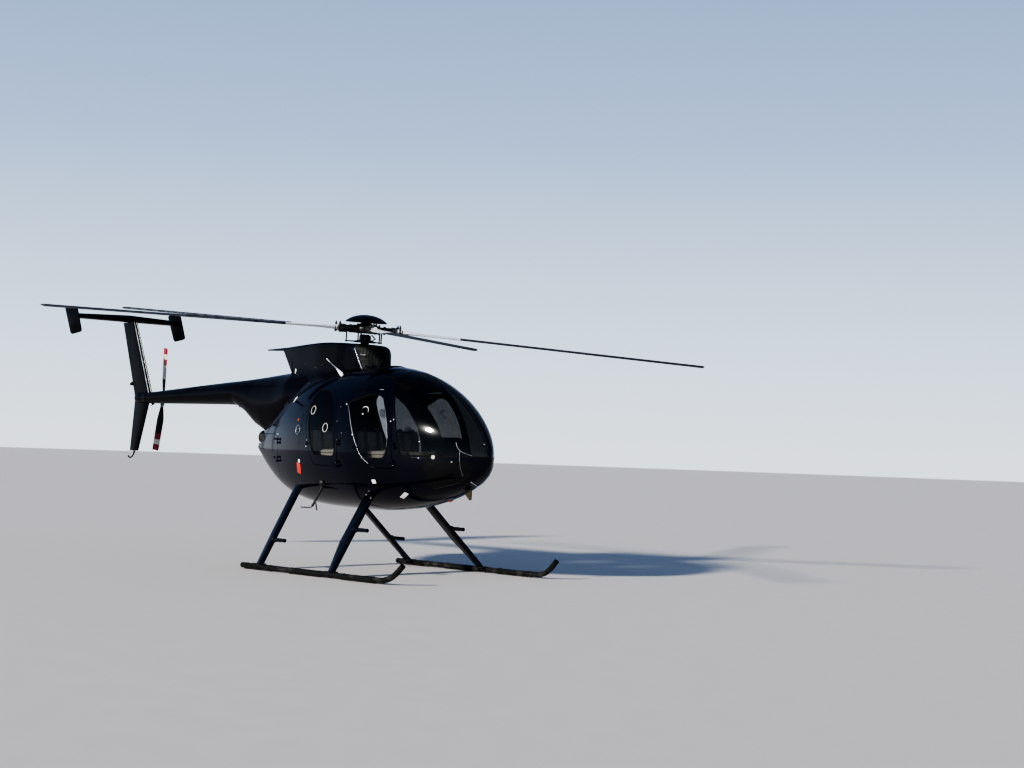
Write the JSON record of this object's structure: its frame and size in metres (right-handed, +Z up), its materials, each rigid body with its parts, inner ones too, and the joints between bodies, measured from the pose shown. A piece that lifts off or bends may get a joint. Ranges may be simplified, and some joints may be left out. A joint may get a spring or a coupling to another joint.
{
  "type": "light turbine helicopter",
  "caption": "Light single-turbine helicopter with a rounded cabin pod, slim tail boom, T tail and high skid landing gear.",
  "frame": {"origin": "on the ground at the middle of the overall box, rotor blades and tail included", "axes": "+X forward to the nose, +Y to port, +Z up"},
  "size_m": [8.8627, 7.5784, 3.1762],
  "materials": {
    "navy_paint": "gloss navy blue paint on aluminium skin",
    "tail_paint": "gloss navy blue paint on thin aluminium skin",
    "black_paint": "satin black paint",
    "fairing_shell": "gloss navy blue paint on moulded shell",
    "intake_mesh": "dark moulded shell with mesh panels",
    "blade_paint": "satin dark grey paint with pale root section",
    "hub_metal": "worn dark metal",
    "clear_glazing": "clear glossy glazing",
    "bare_metal": "satin bare metal",
    "exhaust_metal": "heat tinted satin steel",
    "seat_cloth": "pale grey upholstery",
    "dark_trim": "dark cabin trim",
    "red_lens": "clear red lens",
    "white_plastic": "white"
  },
  "bodies": {
    "fuselage": {"cabin_hull": "navy_paint", "nose_hull": "navy_paint", "aft_hull": "navy_paint", "exhaust_pipe": "exhaust_metal", "engine": "bare_metal", "cabin_floor": "dark_trim", "rear_bulkhead": "dark_trim", "seat_rear": "seat_cloth", "instrument_console": "dark_trim", "tail_boom": "tail_paint", "mast_fairing": "fairing_shell", "intake_fairing": "intake_mesh", "tail_gearbox": "tail_paint", "fin_upper": "tail_paint", "fin_lower": "tail_paint", "tailplane": "tail_paint", "tail_bumper": "black_paint", "mast": "hub_metal", "whip_aerial": "white_plastic", "belly_aerial": "black_paint", "nose_aerial": "black_paint", "belly_lamp": "red_lens", "leg_front_left": "black_paint", "leg_rear_left": "black_paint", "windshield_left": "clear_glazing", "chin_window_left": "clear_glazing", "seat_front_left": "seat_cloth", "cyclic_left": "black_paint", "end_plate_left": "tail_paint", "skid_left": "black_paint", "leg_front_right": "black_paint", "leg_rear_right": "black_paint", "windshield_right": "clear_glazing", "chin_window_right": "clear_glazing", "seat_front_right": "seat_cloth", "cyclic_right": "black_paint", "end_plate_right": "tail_paint", "skid_right": "black_paint"},
    "main_rotor": {"swashplate": "hub_metal", "rotor_head": "hub_metal", "rotor_dome": "black_paint", "main_blade_1": "blade_paint", "main_blade_2": "blade_paint", "main_blade_3": "blade_paint", "main_blade_4": "blade_paint", "main_blade_5": "blade_paint"},
    "tail_rotor": {"tail_rotor_hub": "hub_metal", "tail_blade_1": "blade_paint", "tail_blade_2": "blade_paint"},
    "front_door_left": {"door_front_left": "navy_paint", "window_front_left": "clear_glazing"},
    "rear_door_left": {"door_rear_left": "navy_paint", "window_rear_left": "clear_glazing"},
    "engine_door_left_body": {"engine_door_left": "navy_paint"},
    "front_door_right": {"door_front_right": "navy_paint", "window_front_right": "clear_glazing"},
    "rear_door_right": {"door_rear_right": "navy_paint", "window_rear_right": "clear_glazing"},
    "engine_door_right_body": {"engine_door_right": "navy_paint"}
  },
  "joints": [
    {"name": "main_rotor_spin", "type": "hinge", "parent": "fuselage", "child": "main_rotor", "pos_m": [0.8, 0.2, 2.826], "axis": [0.0576, 0, 0.9983], "continuous": true},
    {"name": "tail_rotor_spin", "type": "hinge", "parent": "fuselage", "child": "tail_rotor", "pos_m": [-3.86, 0.6, 1.98], "axis": [0, 1, 0], "continuous": true},
    {"name": "front_door_left_hinge", "type": "hinge", "parent": "fuselage", "child": "front_door_left", "pos_m": [2.015, 0.78855, 1.37], "axis": [0, 0, -1], "range_deg": [0, 80]},
    {"name": "rear_door_left_hinge", "type": "hinge", "parent": "fuselage", "child": "rear_door_left", "pos_m": [1.19, 0.90914, 1.37], "axis": [0, 0, -1], "range_deg": [0, 80]},
    {"name": "engine_door_left_hinge", "type": "hinge", "parent": "fuselage", "child": "engine_door_left_body", "pos_m": [-0.33, 0.56366, 1.37], "axis": [0, 0, -1], "range_deg": [0, 75]},
    {"name": "front_door_right_hinge", "type": "hinge", "parent": "fuselage", "child": "front_door_right", "pos_m": [2.015, -0.38855, 1.37], "axis": [0, 0, 1], "range_deg": [0, 80]},
    {"name": "rear_door_right_hinge", "type": "hinge", "parent": "fuselage", "child": "rear_door_right", "pos_m": [1.19, -0.50914, 1.37], "axis": [0, 0, 1], "range_deg": [0, 80]},
    {"name": "engine_door_right_hinge", "type": "hinge", "parent": "fuselage", "child": "engine_door_right_body", "pos_m": [-0.33, -0.16366, 1.37], "axis": [0, 0, 1], "range_deg": [0, 75]}
  ]
}
